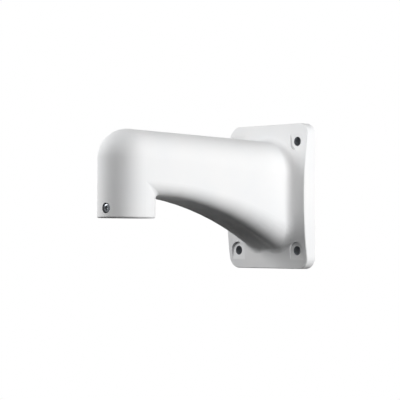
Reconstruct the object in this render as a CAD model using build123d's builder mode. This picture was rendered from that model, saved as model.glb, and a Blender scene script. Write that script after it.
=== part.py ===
from build123d import *
import math
import os

# Wall plate. Its back lies in the plane Y = 0 and its front is barrelled about X.
plate_width = 120.0
plate_height = 160.0
plate_corner_radius = 13.0
plate_edge_thickness = 11.3
plate_crown = 7.2
plate_edge_round = 1.2
plate_back_break = 0.4

# Wall bolt holes in their U-shaped spot faces
bolt_spacing_x = 90.0
bolt_spacing_z = 120.0
bolt_hole_diameter = 10.0
spot_face_diameter = 19.6
spot_face_floor = 13.0

# Arm. It runs from the plate along -Y and falls a little towards the wall.
arm_reach = 222.3
arm_axis_height = 35.3
arm_fall = 4.6
arm_root_width = 78.4
arm_flare_power = 1.4
arm_section_count = 13
underside_height = -1.4
underside_radius = 400.0
lower_corner_at_collar = 12.4
lower_corner_at_root = 25.0
lower_corner_power = 1.8
underside_least_angle = 1.0
underside_hollow_angle = 17.0
underside_hollow_power = 3.0
root_fillet = 8.0

# Fillet behind the collar, in the crease under the arm: its leg straight behind the collar, how
# that shrinks towards the flanks, and how far its edges and its core are sunk in the casting
crease_fillet = 5.5
crease_fade_power = 0.6
crease_sink = 0.06
crease_depth = 2.0
crease_angles = [-78, -66, -52, -36, -18, 0, 18, 36, 52, 66, 78]

# Collar that the camera neck screws into. The bore is as wide as the thread's root.
collar_diameter = 60.0
collar_bottom = -26.7
collar_edge_break = 1.0
bore_diameter = 47.8
bore_lead_in = 1.2

# Hollow of the casting
arm_wall = 4.0
plate_wall = 4.0
rim_wall = 4.0
boss_land = 2.6
rib_thickness = 3.0
rib_inset = 10.5
rib_setback = 1.5

# Locking screw, sunk in the front of the collar
screw_angle = 5.0
screw_height = -16.8
screw_shank_diameter = 4.8
screw_shank_clearance = 0.1
screw_head_diameter = 9.5
screw_head_clearance = 0.6
screw_head_height = 2.9
screw_head_setback = 0.6
screw_head_break = 0.8
screw_tip_setback = 0.4
cross_width = 1.5
cross_span = 5.2
cross_depth = 1.8
cross_taper = 12.0

# How far a cut runs past a wall, and the width of the band that edges are picked from
cut_overshoot = 1.0
edge_band = 0.1

# Sizes that follow
collar_radius = collar_diameter / 2
bore_radius = bore_diameter / 2
arm_root_radius = arm_root_width / 2
plate_mid_thickness = plate_edge_thickness + plate_crown
root_depth = plate_edge_thickness / 2
root_reach = plate_height / 2 - plate_corner_radius
cavity_width = plate_width - 2 * rim_wall
cavity_height = plate_height - 2 * rim_wall
boss_radius = spot_face_diameter / 2 + boss_land
screw_seat_depth = screw_head_height + screw_head_setback
screw_seat_radius = collar_radius - screw_seat_depth


def along(y):
    """Share of the way from the collar axis to the front of the plate."""
    return (y + arm_reach) / (arm_reach - plate_mid_thickness)


def arm_half_width(y):
    flare = arm_root_radius - collar_radius
    return collar_radius + flare * along(y) ** arm_flare_power


def arm_top(y):
    return arm_axis_height + collar_radius - arm_fall * (y + arm_reach) / arm_reach


def arm_bottom(y):
    run = y + arm_reach
    return underside_height - underside_radius + math.sqrt(underside_radius**2 - run**2)


def lower_corner(y):
    growth = lower_corner_at_root - lower_corner_at_collar
    return lower_corner_at_collar + growth * along(y) ** lower_corner_power


def hollow_angle(y):
    """How far the lower corners turn inwards past level, in degrees."""
    return underside_least_angle + underside_hollow_angle * along(y) ** underside_hollow_power


def arm_section(y, half, top, bottom, corner, turn):
    """Round top, upright flanks, round lower corners and a shallow hollow underside."""
    shoulder = top - half
    turn = math.radians(turn)
    corner_x = half - corner
    corner_z = bottom + corner
    end_x = corner_x - corner * math.sin(turn)
    end_z = corner_z - corner * math.cos(turn)
    half_turn = (math.pi / 2 + turn) / 2
    mid_x = corner_x + corner * math.cos(half_turn)
    mid_z = corner_z - corner * math.sin(half_turn)
    crest = end_z + end_x * math.tan(turn / 2)
    with BuildSketch(Plane.XZ.offset(-y)) as section:
        with BuildLine():
            ThreePointArc((half, shoulder), (0, top), (-half, shoulder))
            Line((-half, shoulder), (-half, corner_z))
            ThreePointArc((-half, corner_z), (-mid_x, mid_z), (-end_x, end_z))
            ThreePointArc((-end_x, end_z), (0, crest), (end_x, end_z))
            ThreePointArc((end_x, end_z), (mid_x, mid_z), (half, corner_z))
            Line((half, corner_z), (half, shoulder))
        make_face()
    return section.sketch


def outer_section(y):
    return arm_section(y, arm_half_width(y), arm_top(y), arm_bottom(y), lower_corner(y), hollow_angle(y))


def duct_section(y):
    """The outer section less a wall that thins from the collar's to the arm's."""
    collar_wall = collar_radius - bore_radius
    wall = collar_wall + (arm_wall - collar_wall) * along(y)
    half = arm_half_width(y) - wall
    corner = lower_corner(y) - wall
    return arm_section(y, half, arm_top(y) - wall, arm_bottom(y) + wall, corner, hollow_angle(y))


def stations(first, last):
    step = (last - first) / (arm_section_count - 1)
    return [first + step * i for i in range(arm_section_count)]


def barrel_profile(inset):
    """Side view of the plate, with its front moved back by an inset."""
    edge = plate_edge_thickness - inset
    crown = plate_mid_thickness - inset
    end = plate_height / 2
    with BuildSketch(Plane.YZ) as profile:
        with BuildLine():
            ThreePointArc((-edge, -end), (-crown, 0), (-edge, end))
            Polyline((-edge, end), (0, end), (0, -end), (-edge, -end))
        make_face()
    return profile.sketch


def elbow_profile(radius):
    """Half outline of the collar and dome, to be turned about the collar axis."""
    with BuildSketch(Plane.XZ.offset(arm_reach)) as profile:
        with BuildLine():
            mouth = Line((0, collar_bottom), (radius, collar_bottom))
            side = Line(mouth @ 1, (radius, arm_axis_height))
            dome = RadiusArc(side @ 1, (0, arm_axis_height + radius), -radius)
            Line(dome @ 1, mouth @ 0)
        make_face()
    return profile.sketch


def collar_back_profile(radius, seam):
    """Half outline of the collar below the arm, up to where the arm's lower corners start."""
    with BuildSketch(Plane.XZ.offset(arm_reach)) as profile:
        with Locations((radius / 2, (collar_bottom + seam) / 2)):
            Rectangle(radius, seam - collar_bottom)
    return profile.sketch


def arm_lower_face(x, y):
    """Height of the arm's underside, or of its round lower corner, above a point."""
    corner = lower_corner(y)
    over = max(0.0, abs(x) - (arm_half_width(y) - corner))
    return arm_bottom(y) + corner - math.sqrt(max(0.0, corner**2 - over**2))


def crease_section(angle):
    """Fillet between the collar and the arm, cut by an upright plane through the collar axis.

    The angle is measured from straight back. Both legs are equally long and shrink towards the
    flanks, where the collar runs into the arm without a crease."""
    turn = math.radians(angle)
    leg = crease_fillet * math.cos(turn) ** crease_fade_power

    def height(radius):
        return arm_lower_face(radius * math.sin(turn), radius * math.cos(turn) - arm_reach)

    crease_z = height(collar_radius)
    rise = math.atan2(height(collar_radius + leg / 2) - crease_z, leg / 2)
    foot = (collar_radius - crease_sink, crease_z - leg)
    end_radius = collar_radius + leg * math.cos(rise)
    end = (end_radius, height(end_radius) + crease_sink)
    plane = Plane(
        origin=(0, -arm_reach, 0),
        x_dir=(math.sin(turn), math.cos(turn), 0),
        z_dir=(math.cos(turn), -math.sin(turn), 0),
    )
    with BuildSketch(plane) as section:
        with BuildLine():
            TangentArc(foot, end, tangent=(0, 1))
            Polyline(end, (collar_radius - crease_depth, crease_z + crease_depth), foot)
        make_face()
    return section.sketch


# Wall plate: a barrelled slab with rounded corners and a soft front edge
with BuildPart() as wall_plate:
    extrude(barrel_profile(0), amount=plate_width / 2, both=True)
    with BuildSketch(Plane.XZ):
        RectangleRounded(plate_width, plate_height, plate_corner_radius)
    extrude(amount=plate_mid_thickness, mode=Mode.INTERSECT)
    fillet(wall_plate.faces().sort_by(Axis.Y)[0].edges(), radius=plate_edge_round)
    chamfer(wall_plate.faces().sort_by(Axis.Y)[-1].edges(), length=plate_back_break)

# Solid arm, lofted in straight strips from the collar axis into the plate. The front of the elbow
# is turned about the collar axis, and so is the back of the collar, which meets the arm at its
# lower corners. A fillet fills the crease between them.
collar_axis = Axis((0, -arm_reach, 0), (0, 0, 1))
collar_seam = underside_height + lower_corner_at_collar
with BuildPart() as arm:
    loft(sections=[outer_section(y) for y in stations(-arm_reach, -root_depth)], ruled=True)
    revolve(elbow_profile(collar_radius), axis=collar_axis, revolution_arc=-180)
    revolve(collar_back_profile(collar_radius, collar_seam), axis=collar_axis, revolution_arc=180)
    collar_mouth = arm.faces().filter_by(Axis.Z).sort_by(Axis.Z)[0]
    chamfer(collar_mouth.edges(), length=collar_edge_break)
    loft(sections=[crease_section(angle) for angle in crease_angles])

# Hollow: the back of the plate less its bosses and ribs, the cable duct and the collar's bore
with BuildPart() as hollow:
    extrude(barrel_profile(plate_wall), amount=plate_width / 2, both=True)
    with BuildSketch(Plane.XZ):
        RectangleRounded(cavity_width, cavity_height, plate_corner_radius - rim_wall)
    extrude(amount=plate_mid_thickness, mode=Mode.INTERSECT)
    with BuildSketch(Plane.XZ):
        with GridLocations(bolt_spacing_x, bolt_spacing_z, 2, 2):
            Circle(boss_radius)
        with GridLocations(bolt_spacing_x, plate_height, 2, 2):
            Rectangle(2 * boss_radius, plate_height - bolt_spacing_z)
    extrude(amount=plate_mid_thickness, mode=Mode.SUBTRACT)
    with BuildSketch(Plane.XZ.offset(rib_setback)):
        with GridLocations(0, plate_height - 2 * rib_inset, 1, 2):
            Rectangle(bolt_spacing_x, rib_thickness)
        with GridLocations(plate_width - 2 * rib_inset, 0, 2, 1):
            Rectangle(rib_thickness, bolt_spacing_z)
    extrude(amount=plate_mid_thickness, mode=Mode.SUBTRACT)
    loft(sections=[duct_section(y) for y in stations(-arm_reach, -root_depth)], ruled=True)
    revolve(elbow_profile(bore_radius), axis=collar_axis, revolution_arc=-180)
    revolve(collar_back_profile(bore_radius, collar_seam), axis=collar_axis, revolution_arc=180)

# Screw seat: a plane square to the collar's wall, at the depth the screw head rests on
lean = math.radians(screw_angle)
screw_plane = Plane(
    origin=(0, -arm_reach, screw_height),
    x_dir=(math.cos(lean), math.sin(lean), 0),
    z_dir=(math.sin(lean), -math.cos(lean), 0),
)
seat_plane = screw_plane.offset(screw_seat_radius)

with BuildPart() as bracket_body:
    add(wall_plate.part)
    add(arm.part)
    root_edges = (
        bracket_body.edges()
        .filter_by_position(Axis.X, -arm_root_radius - edge_band, arm_root_radius + edge_band)
        .filter_by_position(Axis.Y, -plate_mid_thickness - edge_band, -plate_edge_thickness)
        .filter_by_position(Axis.Z, -root_reach, root_reach)
    )
    fillet(root_edges, radius=root_fillet)
    add(hollow.part, mode=Mode.SUBTRACT)
    with BuildSketch(Plane.XZ.offset(spot_face_floor)):
        with GridLocations(bolt_spacing_x, bolt_spacing_z, 2, 2):
            Circle(spot_face_diameter / 2)
        with GridLocations(bolt_spacing_x, plate_height, 2, 2):
            Rectangle(spot_face_diameter, plate_height - bolt_spacing_z)
    extrude(amount=plate_mid_thickness, mode=Mode.SUBTRACT)
    with BuildSketch(Plane.XZ):
        with GridLocations(bolt_spacing_x, bolt_spacing_z, 2, 2):
            Circle(bolt_hole_diameter / 2)
    extrude(amount=plate_mid_thickness, mode=Mode.SUBTRACT)
    rim_edges = bracket_body.edges().filter_by(GeomType.CIRCLE)
    rim_edges = rim_edges.filter_by_position(Axis.Z, collar_bottom - edge_band, collar_bottom + edge_band)
    chamfer(rim_edges.group_by(SortBy.RADIUS)[0], length=bore_lead_in)
    with BuildSketch(seat_plane):
        Circle(screw_head_diameter / 2 + screw_head_clearance)
    extrude(amount=screw_seat_depth, mode=Mode.SUBTRACT)
    with BuildSketch(seat_plane):
        Circle(screw_shank_diameter / 2 + screw_shank_clearance)
    extrude(amount=-(screw_seat_radius - bore_radius + cut_overshoot), mode=Mode.SUBTRACT)

# Locking screw: pan head with a cross recess, its tip just short of the bore
with BuildPart() as locking_screw:
    with BuildSketch(seat_plane):
        Circle(screw_head_diameter / 2)
    extrude(amount=screw_head_height)
    crown = locking_screw.faces().sort_by(Axis(screw_plane.origin, screw_plane.z_dir))[-1]
    chamfer(crown.edges(), length=screw_head_break)
    with BuildSketch(seat_plane):
        Circle(screw_shank_diameter / 2)
    extrude(amount=-(screw_seat_radius - bore_radius - screw_tip_setback))
    with BuildSketch(seat_plane.offset(screw_head_height)):
        Rectangle(cross_span, cross_width)
        Rectangle(cross_width, cross_span)
    extrude(amount=-cross_depth, taper=cross_taper, mode=Mode.SUBTRACT)

bracket_body.part.label = "bracket_body"
locking_screw.part.label = "locking_screw"
os.makedirs("parts", exist_ok=True)
export_step(bracket_body.part, "parts/bracket_body.step")
export_step(locking_screw.part, "parts/locking_screw.step")
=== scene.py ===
import bpy
import math
from mathutils import Matrix, Vector


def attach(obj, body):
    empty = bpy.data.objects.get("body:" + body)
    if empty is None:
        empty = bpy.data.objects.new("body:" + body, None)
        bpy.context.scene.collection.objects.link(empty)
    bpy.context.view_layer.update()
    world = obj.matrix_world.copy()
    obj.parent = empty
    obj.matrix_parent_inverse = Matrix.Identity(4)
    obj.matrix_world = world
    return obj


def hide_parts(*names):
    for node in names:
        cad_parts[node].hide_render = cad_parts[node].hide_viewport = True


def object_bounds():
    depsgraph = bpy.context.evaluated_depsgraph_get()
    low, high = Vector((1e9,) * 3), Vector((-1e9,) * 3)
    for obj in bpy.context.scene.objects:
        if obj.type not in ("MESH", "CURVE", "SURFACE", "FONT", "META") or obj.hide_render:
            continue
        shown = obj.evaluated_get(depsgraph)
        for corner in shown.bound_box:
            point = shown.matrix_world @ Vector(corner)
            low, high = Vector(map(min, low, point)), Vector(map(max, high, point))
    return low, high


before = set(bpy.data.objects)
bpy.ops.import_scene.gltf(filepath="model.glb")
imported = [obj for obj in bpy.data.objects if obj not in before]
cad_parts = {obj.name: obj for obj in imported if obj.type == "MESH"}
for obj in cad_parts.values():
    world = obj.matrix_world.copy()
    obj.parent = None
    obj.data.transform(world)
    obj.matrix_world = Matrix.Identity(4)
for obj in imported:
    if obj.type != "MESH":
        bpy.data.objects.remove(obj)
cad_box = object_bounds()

MM = 0.001

# Collar and its G 1 1/2 internal thread, in millimetres
COLLAR_AXIS_Y = -222.3
COLLAR_MOUTH_Z = -26.7
THREAD_ROOT_RADIUS = 23.9
THREAD_CREST_RADIUS = 22.42
THREAD_PITCH = 2.309
THREAD_LEAD_IN = 1.6
THREAD_TURNS = 9
THREAD_STEPS_PER_TURN = 96

# Ridge of the thread, in millimetres: its foot is sunk in the bore's wall, and its crest is slightly
# rounded. Its half widths, from foot to crest, are shares of the pitch
RIDGE_SINK = 0.1
RIDGE_START = 0.05
RIDGE_CREST_ROUND = 0.1
RIDGE_FOOT_SHARE = 0.46
RIDGE_START_SHARE = 0.42
RIDGE_SHOULDER_SHARE = 0.12
RIDGE_CREST_SHARE = 0.05

# Bolt holes, in millimetres
BOLT_SPACING_X = 90.0
BOLT_SPACING_Z = 120.0
BOLT_HOLE_RADIUS = 5.0

# Locking screw and its seat, which is bored towards the collar's axis, in millimetres and degrees
SCREW_AXIS_Z = -16.8
SCREW_LEAN = 5.0
SCREW_SEAT_FROM_AXIS = 26.5
SCREW_SEAT_X = 2.6
SCREW_SEAT_RADIUS = 5.35
SCREW_STEPS = 96
SCREW_SHARP_ANGLE = 30.0
HEAD_RADIUS = 4.75
SHANK_RADIUS = 2.4
SHANK_LENGTH = 2.2

# Crown of the screw's head, drawn in millimetres: radius, and height over the seat
CROWN = [
    (0.0, 2.90), (0.5, 2.89), (1.0, 2.87), (1.5, 2.84), (2.0, 2.80), (2.5, 2.74), (3.0, 2.66),
    (3.5, 2.55), (3.9, 2.43), (4.2, 2.29), (4.45, 2.11), (4.62, 1.89), (4.72, 1.62), (HEAD_RADIUS, 1.35),
]

# Cross recess of the screw, in millimetres. Each level is a height over the seat, and how far the
# cross is drawn in there: it is widest above the crown, and narrowest at its floor
CROSS_SPAN = 5.2
CROSS_WIDTH = 1.5
CROSS_LEVELS = [(3.9, -0.21), (1.1, 0.38)]

# Painted shade, a dull grey, is drawn this far past the walls of holes and of the screw's seat, in
# millimetres
PAINTED_SHADE_MARGIN = 0.1

# Sizes and depths of the patterns in the coat and the plating, in millimetres
PEEL_SIZE = 2.2
PEEL_DEPTH = 0.02
GRAIN_SIZE = 0.5
GRAIN_DEPTH = 0.012
TINT_DRIFT_SIZE = 45.0
PLATING_CLOUD_SIZE = 1.5

# Camera, fitted to the photograph's view, in millimetres, degrees and pixels
CAMERA_PLACE = (1262.758, -1323.040, -50.964)
CAMERA_AZIMUTH = 46.3297
CAMERA_PITCH = 1.4790
CAMERA_ROLL = 0.2548
FOCAL_PIXELS = 1627.855
FRAME_PIXELS = 400
SENSOR_WIDTH = 36.0

# Floor, far enough below the bracket to stay out of the main view, in metres
FLOOR_DROP = 0.8
FLOOR_RADIUS = 0.9
FLOOR_CLEAR_RADIUS = 0.5
FLOOR_SIDES = 96

# Middle of the bracket, which every lamp faces, in metres
LIGHT_TARGET = Vector((0.0, -0.12, 0.02))

# Name, azimuth (0 in front of the plate, 90 to its right) and elevation in degrees, distance and
# side in metres, and power in watts
SOFTBOXES = [
    ("left_key", -50.0, 25.0, 1.6, 0.8, 20.6),
    ("right_key", 98.0, 10.0, 1.6, 0.8, 7.6),
    ("right_back", 112.0, 0.0, 1.6, 0.8, 7.3),
    ("front_left", -29.0, 28.0, 0.81, 0.3, 0.65),
    ("front_right", 29.0, 28.0, 0.81, 0.3, 0.38),
    ("right_near_plate", 98.0, 4.0, 0.455, 0.3, 0.50),
    ("right_near_arm", 77.0, 4.0, 0.46, 0.3, 0.39),
    ("top_right", 101.0, 69.0, 0.57, 0.3, 0.24),
    ("back_fill", 180.0, 5.0, 1.6, 0.8, 10.0),
]

# Strength of the even fill from all sides
WORLD_LEVEL = 0.01


def colour(hex_value):
    """An sRGB hex colour as the linear values that a shader takes."""
    def linear(c):
        return c / 12.92 if c <= 0.04045 else ((c + 0.055) / 1.055) ** 2.4
    return [linear(int(hex_value[i:i + 2], 16) / 255) for i in (1, 3, 5)] + [1.0]


def add_node(tree, kind, settings=None, inputs=None, links=None):
    """Adds a node, with its settings, its input values and the sockets that feed it."""
    node = tree.nodes.new(kind)
    for name, value in (settings or {}).items():
        setattr(node, name, value)
    for name, value in (inputs or {}).items():
        node.inputs[name].default_value = value
    for name, socket in (links or {}).items():
        tree.links.new(socket, node.inputs[name])
    return node


def new_material(name):
    """A material with an empty node tree."""
    material = bpy.data.materials.new(name)
    material.use_nodes = True
    tree = material.node_tree
    tree.nodes.clear()
    return material, tree


def waves_per_metre(size_mm):
    """Scale of a noise texture whose features are about this size."""
    return 1.0 / (size_mm * MM)


def off_axis(tree, place, centre):
    """How far each point is from an axis that runs front to back through the centre, as a vector."""
    apart = add_node(tree, "ShaderNodeVectorMath", {"operation": "SUBTRACT"}, inputs={
        1: [c * MM for c in centre]}, links={0: place})
    flat = add_node(tree, "ShaderNodeVectorMath", {"operation": "MULTIPLY"}, inputs={
        1: (1.0, 0.0, 1.0)}, links={0: apart.outputs["Vector"]})
    return flat.outputs["Vector"]


def within(tree, offset, radius):
    """1 within the radius, and 0 outside it."""
    reach = add_node(tree, "ShaderNodeVectorMath", {"operation": "LENGTH"}, links={0: offset})
    inside = add_node(tree, "ShaderNodeMath", {"operation": "LESS_THAN"}, inputs={1: radius * MM},
                      links={0: reach.outputs["Value"]})
    return inside.outputs["Value"]


def painted_shade_mask(tree, place):
    """1 on the walls of the bolt holes and of the screw's seat, where grey is painted as shade, and 0 on the
    coat.
    """
    mirrored = add_node(tree, "ShaderNodeVectorMath", {"operation": "ABSOLUTE"}, links={0: place})
    from_bolts = off_axis(tree, mirrored.outputs["Vector"], (BOLT_SPACING_X / 2, 0.0, BOLT_SPACING_Z / 2))
    in_hole = within(tree, from_bolts, BOLT_HOLE_RADIUS + PAINTED_SHADE_MARGIN)
    from_seat = off_axis(tree, place, (SCREW_SEAT_X, 0.0, SCREW_AXIS_Z))
    in_seat = within(tree, from_seat, SCREW_SEAT_RADIUS + PAINTED_SHADE_MARGIN)
    # The seat's painted shade stops in front of the bore, whose own wall keeps its coat
    bore_front_y = COLLAR_AXIS_Y - THREAD_ROOT_RADIUS - PAINTED_SHADE_MARGIN
    depth = add_node(tree, "ShaderNodeSeparateXYZ", links={"Vector": place})
    in_front = add_node(tree, "ShaderNodeMath", {"operation": "LESS_THAN"}, inputs={
        1: bore_front_y * MM}, links={0: depth.outputs["Y"]})
    seat = add_node(tree, "ShaderNodeMath", {"operation": "MULTIPLY"}, links={
        0: in_seat, 1: in_front.outputs["Value"]})
    mask = add_node(tree, "ShaderNodeMath", {"operation": "MAXIMUM"}, links={
        0: in_hole, 1: seat.outputs["Value"]})
    return mask.outputs["Value"]


def satin_white_powder_coat():
    """Polyester powder coat, baked on die-cast aluminium: an even white satin whose film keeps a
    faint orange peel and a finer grain, so its highlights are weak and spread wide. The walls of
    the bolt holes and of the screw's seat are given a dull grey, which is painted shade."""
    material, tree = new_material("satin_white_powder_coat")
    place = add_node(tree, "ShaderNodeTexCoord").outputs["Object"]
    peel = add_node(tree, "ShaderNodeTexNoise", inputs={
        "Scale": waves_per_metre(PEEL_SIZE), "Detail": 2.0, "Roughness": 0.45}, links={"Vector": place})
    grain = add_node(tree, "ShaderNodeTexNoise", inputs={
        "Scale": waves_per_metre(GRAIN_SIZE), "Detail": 2.0, "Roughness": 0.6}, links={"Vector": place})
    drift = add_node(tree, "ShaderNodeTexNoise", inputs={
        "Scale": waves_per_metre(TINT_DRIFT_SIZE), "Detail": 2.0, "Roughness": 0.5}, links={"Vector": place})
    tint = add_node(tree, "ShaderNodeValToRGB", links={"Fac": drift.outputs["Fac"]})
    tint.color_ramp.elements[0].position = 0.3
    tint.color_ramp.elements[0].color = colour("#F3F4F5")
    tint.color_ramp.elements[1].position = 0.7
    tint.color_ramp.elements[1].color = colour("#F6F6F6")
    # Where the mask is 1, the white gives way to a dull grey, painted shade in the bolt holes and the screw's
    # seat
    colours = add_node(tree, "ShaderNodeMix", {"data_type": "RGBA"}, inputs={
        7: colour("#83878C")}, links={0: painted_shade_mask(tree, place), 6: tint.outputs["Color"]})
    gloss = add_node(tree, "ShaderNodeMapRange", inputs={"To Min": 0.54, "To Max": 0.64},
                     links={"Value": grain.outputs["Fac"]})
    peel_bump = add_node(tree, "ShaderNodeBump", inputs={"Strength": 0.25, "Distance": PEEL_DEPTH * MM},
                         links={"Height": peel.outputs["Fac"]})
    grain_bump = add_node(tree, "ShaderNodeBump", inputs={"Strength": 0.3, "Distance": GRAIN_DEPTH * MM},
                          links={"Height": grain.outputs["Fac"], "Normal": peel_bump.outputs["Normal"]})
    coat = add_node(tree, "ShaderNodeBsdfPrincipled", inputs={"IOR": 1.48, "Specular IOR Level": 0.1}, links={
        "Base Color": colours.outputs[2], "Roughness": gloss.outputs["Result"],
        "Normal": grain_bump.outputs["Normal"]})
    add_node(tree, "ShaderNodeOutputMaterial", links={"Surface": coat.outputs["BSDF"]})
    return material


def zinc_plated_steel():
    """Zinc-plated steel, cold headed: a cool dark grey metal with a slightly cloudy gloss, so the
    crowned head catches the lamps on one side and stays dark on the other."""
    material, tree = new_material("zinc_plated_steel")
    place = add_node(tree, "ShaderNodeTexCoord").outputs["Object"]
    cloud = add_node(tree, "ShaderNodeTexNoise", inputs={
        "Scale": waves_per_metre(PLATING_CLOUD_SIZE), "Detail": 3.0}, links={"Vector": place})
    tint = add_node(tree, "ShaderNodeValToRGB", links={"Fac": cloud.outputs["Fac"]})
    tint.color_ramp.elements[0].color = colour("#5E6064")
    tint.color_ramp.elements[1].color = colour("#767A7E")
    gloss = add_node(tree, "ShaderNodeMapRange", inputs={"To Min": 0.10, "To Max": 0.18},
                     links={"Value": cloud.outputs["Fac"]})
    metal = add_node(tree, "ShaderNodeBsdfPrincipled", inputs={"Metallic": 1.0}, links={
        "Base Color": tint.outputs["Color"], "Roughness": gloss.outputs["Result"]})
    add_node(tree, "ShaderNodeOutputMaterial", links={"Surface": metal.outputs["BSDF"]})
    return material


def matt_white_sweep():
    """Matt white studio sweep. It takes the bracket's shadow, fades to plain white at its rim, and is
    clear from below, so the underside can be seen."""
    material, tree = new_material("matt_white_sweep")
    place = add_node(tree, "ShaderNodeTexCoord").outputs["Object"]
    reach = add_node(tree, "ShaderNodeVectorMath", {"operation": "LENGTH"}, links={0: place})
    fade = add_node(tree, "ShaderNodeMapRange", {"interpolation_type": "SMOOTHSTEP"}, inputs={
        "From Min": FLOOR_CLEAR_RADIUS, "From Max": FLOOR_RADIUS}, links={"Value": reach.outputs["Value"]})
    rays = add_node(tree, "ShaderNodeLightPath")
    seen = add_node(tree, "ShaderNodeMath", {"operation": "MULTIPLY"}, links={
        0: fade.outputs["Result"], 1: rays.outputs["Is Camera Ray"]})
    matt = add_node(tree, "ShaderNodeBsdfPrincipled", inputs={
        "Base Color": colour("#F0F0F0"), "Roughness": 0.8})
    white = add_node(tree, "ShaderNodeEmission", inputs={"Color": colour("#FFFFFF"), "Strength": 1.0})
    mix = add_node(tree, "ShaderNodeMixShader", links={
        0: seen.outputs["Value"], 1: matt.outputs["BSDF"], 2: white.outputs["Emission"]})
    clear = add_node(tree, "ShaderNodeBsdfTransparent")
    side = add_node(tree, "ShaderNodeNewGeometry")
    one_sided = add_node(tree, "ShaderNodeMixShader", links={
        0: side.outputs["Backfacing"], 1: mix.outputs["Shader"], 2: clear.outputs["BSDF"]})
    add_node(tree, "ShaderNodeOutputMaterial", links={"Surface": one_sided.outputs["Shader"]})
    return material


def link(name, data):
    """A new object in the scene that shows this data."""
    piece = bpy.data.objects.new(name, data)
    bpy.context.scene.collection.objects.link(piece)
    return piece


def mesh_object(name, points, faces, material, smooth=True):
    """A new object in the scene, with a mesh of these points and faces."""
    mesh = bpy.data.meshes.new(name)
    mesh.from_pydata(points, [], faces)
    mesh.polygons.foreach_set("use_smooth", [smooth] * len(mesh.polygons))
    mesh.materials.append(material)
    mesh.update()
    return link(name, mesh)


def ridge_section(crest):
    """Radius and place along the pitch of the ridge's corners, from one foot to the other."""
    half = [
        (THREAD_ROOT_RADIUS + RIDGE_SINK, RIDGE_FOOT_SHARE),
        (THREAD_ROOT_RADIUS - RIDGE_START, RIDGE_START_SHARE),
        (crest + RIDGE_CREST_ROUND, RIDGE_SHOULDER_SHARE),
        (crest, RIDGE_CREST_SHARE),
    ]
    return [(radius, -share) for radius, share in half] + half[::-1]


def thread_ridge(material):
    """The thread's ridge: a 55 degree section carried round the bore, running out at both ends."""
    steps = THREAD_TURNS * THREAD_STEPS_PER_TURN
    runout = THREAD_STEPS_PER_TURN // 2
    start_z = COLLAR_MOUTH_Z + THREAD_LEAD_IN
    points = []
    for i in range(steps + 1):
        turn = 2 * math.pi * i / THREAD_STEPS_PER_TURN
        height = min(1.0, i / runout, (steps - i) / runout)
        z = start_z + THREAD_PITCH * i / THREAD_STEPS_PER_TURN
        section = ridge_section(THREAD_ROOT_RADIUS - (THREAD_ROOT_RADIUS - THREAD_CREST_RADIUS) * height)
        for radius, share in section:
            points.append((
                MM * radius * math.cos(turn),
                MM * (COLLAR_AXIS_Y + radius * math.sin(turn)),
                MM * (z + THREAD_PITCH * share),
            ))
    corners = len(section)
    faces = []
    for i in range(steps):
        for k in range(corners):
            a = i * corners + k
            b = i * corners + (k + 1) % corners
            faces.append((a, b, b + corners, a + corners))
    faces.append(tuple(range(corners - 1, -1, -1)))
    faces.append(tuple(steps * corners + k for k in range(corners)))
    return mesh_object("thread_ridge", points, faces, material)


def screw_outline():
    """Radius and height over the seat, from the middle of the crown to the end of the shank."""
    shank = [(SHANK_RADIUS, 0.0), (SHANK_RADIUS, -SHANK_LENGTH), (0.0, -SHANK_LENGTH)]
    return CROWN + [(HEAD_RADIUS, 0.0)] + shank


def screw_place(x, y, height):
    """A point on the screw, whose axis leans from the front and meets the collar's axis."""
    lean = math.radians(SCREW_LEAN)
    out = Vector((math.sin(lean), -math.cos(lean), 0.0))
    across = Vector((math.cos(lean), math.sin(lean), 0.0))
    up = Vector((0.0, 0.0, 1.0))
    axis_foot = Vector((0.0, COLLAR_AXIS_Y, SCREW_AXIS_Z))
    return MM * (axis_foot + across * x + up * y + out * (SCREW_SEAT_FROM_AXIS + height))


def cross_cutter(material):
    """The cross that is cut out of the head, wider at its top than at its floor."""
    points = []
    for height, drawn_in in CROSS_LEVELS:
        side = CROSS_WIDTH / 2 - drawn_in
        end = CROSS_SPAN / 2 - drawn_in
        outline = [
            (end, -side), (end, side), (side, side), (side, end), (-side, end), (-side, side),
            (-end, side), (-end, -side), (-side, -side), (-side, -end), (side, -end), (side, -side),
        ]
        points += [screw_place(x, y, height) for x, y in outline]
    count = len(outline)
    faces = [tuple(range(count)), tuple(range(2 * count - 1, count - 1, -1))]
    faces += [(i, i + count, (i + 1) % count + count, (i + 1) % count) for i in range(count)]
    return mesh_object("cross_cutter", points, faces, material, smooth=False)


def pan_head_screw(material):
    """The locking screw with the shallow crown and cross recess of a real pan head."""
    outline = screw_outline()
    rings = outline[1:-1]
    points = [screw_place(0.0, 0.0, outline[0][1])]
    for radius, height in rings:
        for i in range(SCREW_STEPS):
            turn = 2 * math.pi * i / SCREW_STEPS
            points.append(screw_place(radius * math.cos(turn), radius * math.sin(turn), height))
    points.append(screw_place(0.0, 0.0, outline[-1][1]))
    faces = []
    for i in range(SCREW_STEPS):
        following = (i + 1) % SCREW_STEPS
        faces.append((0, 1 + i, 1 + following))
        for k in range(len(rings) - 1):
            a, b = 1 + k * SCREW_STEPS, 1 + (k + 1) * SCREW_STEPS
            faces.append((a + i, b + i, b + following, a + following))
        faces.append((len(points) - 1, b + following, b + i))
    screw = mesh_object("pan_head_screw", points, faces, material)
    cutter = cross_cutter(material)
    recess = screw.modifiers.new("recess", "BOOLEAN")
    recess.operation = "DIFFERENCE"
    recess.solver = "EXACT"
    recess.object = cutter
    carved = bpy.data.meshes.new_from_object(screw.evaluated_get(bpy.context.evaluated_depsgraph_get()))
    screw.modifiers.clear()
    screw.data = carved
    bpy.data.objects.remove(cutter)
    carved.set_sharp_from_angle(angle=math.radians(SCREW_SHARP_ANGLE))
    return screw


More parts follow.
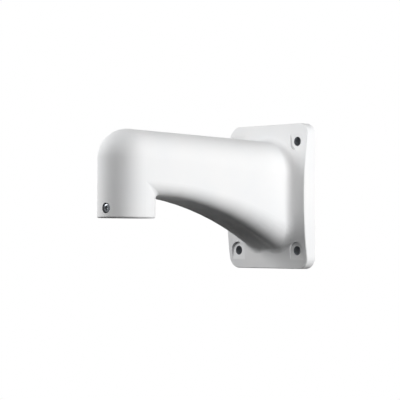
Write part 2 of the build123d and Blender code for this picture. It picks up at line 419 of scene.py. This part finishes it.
def softbox(name, azimuth, elevation, distance, side, power):
    """A square soft lamp that faces the bracket and is not seen itself."""
    around = math.radians(azimuth)
    up = math.radians(elevation)
    out = Vector((math.sin(around) * math.cos(up), -math.cos(around) * math.cos(up), math.sin(up)))
    lamp = bpy.data.lights.new(name, "AREA")
    lamp.shape = "SQUARE"
    lamp.size = side
    lamp.energy = power
    piece = link(name, lamp)
    piece.location = LIGHT_TARGET + out * distance
    piece.rotation_mode = "QUATERNION"
    piece.rotation_quaternion = (-out).to_track_quat("-Z", "Y")
    piece.visible_camera = False


def studio_world():
    """Plain white to the eye and in reflections, and a very weak even fill on the object."""
    world = bpy.data.worlds.new("studio")
    bpy.context.scene.world = world
    world.use_nodes = True
    tree = world.node_tree
    tree.nodes.clear()
    rays = add_node(tree, "ShaderNodeLightPath")
    mirrored = add_node(tree, "ShaderNodeMath", {"operation": "MAXIMUM"}, links={
        0: rays.outputs["Is Glossy Ray"], 1: rays.outputs["Is Transmission Ray"]})
    seen = add_node(tree, "ShaderNodeMath", {"operation": "MAXIMUM"}, links={
        0: rays.outputs["Is Camera Ray"], 1: mirrored.outputs["Value"]})
    fill = add_node(tree, "ShaderNodeBackground", inputs={
        "Color": colour("#FFFFFF"), "Strength": WORLD_LEVEL})
    white = add_node(tree, "ShaderNodeBackground", inputs={"Color": colour("#FFFFFF"), "Strength": 1.0})
    mix = add_node(tree, "ShaderNodeMixShader", links={
        0: seen.outputs["Value"], 1: fill.outputs["Background"], 2: white.outputs["Background"]})
    add_node(tree, "ShaderNodeOutputWorld", links={"Surface": mix.outputs["Shader"]})


def photo_camera():
    """The camera at the photograph's place, looking slightly up and turned a little about its axis."""
    around, pitch, roll = (math.radians(a) for a in (CAMERA_AZIMUTH, CAMERA_PITCH, CAMERA_ROLL))
    ahead = Vector((-math.sin(around), math.cos(around), 0.0))
    forward = ahead * math.cos(pitch) + Vector((0.0, 0.0, math.sin(pitch)))
    right = Vector((math.cos(around), math.sin(around), 0.0))
    up = right.cross(forward)
    x_axis = math.cos(roll) * right + math.sin(roll) * up
    y_axis = math.cos(roll) * up - math.sin(roll) * right
    data = bpy.data.cameras.new("photo_camera")
    data.sensor_width = SENSOR_WIDTH
    data.lens = FOCAL_PIXELS * SENSOR_WIDTH / FRAME_PIXELS
    data.clip_start = 0.1
    data.clip_end = 50.0
    camera = link("photo_camera", data)
    turn = Matrix((x_axis, y_axis, -forward)).transposed().to_4x4()
    camera.matrix_world = Matrix.Translation(Vector(CAMERA_PLACE) * MM) @ turn
    bpy.context.scene.camera = camera


powder_coat = satin_white_powder_coat()
steel = zinc_plated_steel()
for node, material in (("bracket_body", powder_coat), ("locking_screw", steel)):
    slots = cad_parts[node].data.materials
    slots.clear()
    slots.append(material)

# Normals weighted by face area keep flats flat and the small fillets between them crisp
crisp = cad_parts["bracket_body"].modifiers.new("crisp_fillets", "WEIGHTED_NORMAL")
crisp.mode = "FACE_AREA"
crisp.weight = 50
crisp.keep_sharp = True

ridge = thread_ridge(powder_coat)
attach(ridge, "root")

screw = pan_head_screw(steel)
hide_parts("locking_screw")
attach(screw, "root")

bpy.ops.mesh.primitive_circle_add(
    vertices=FLOOR_SIDES, radius=FLOOR_RADIUS, fill_type="NGON", location=(0, 0, cad_box[0].z - FLOOR_DROP))
floor = bpy.context.object
floor.name = "floor"
floor.data.materials.append(matt_white_sweep())
floor.visible_diffuse = False

for lamp in SOFTBOXES:
    softbox(*lamp)
studio_world()
photo_camera()
bpy.context.scene.view_settings.view_transform = "Standard"
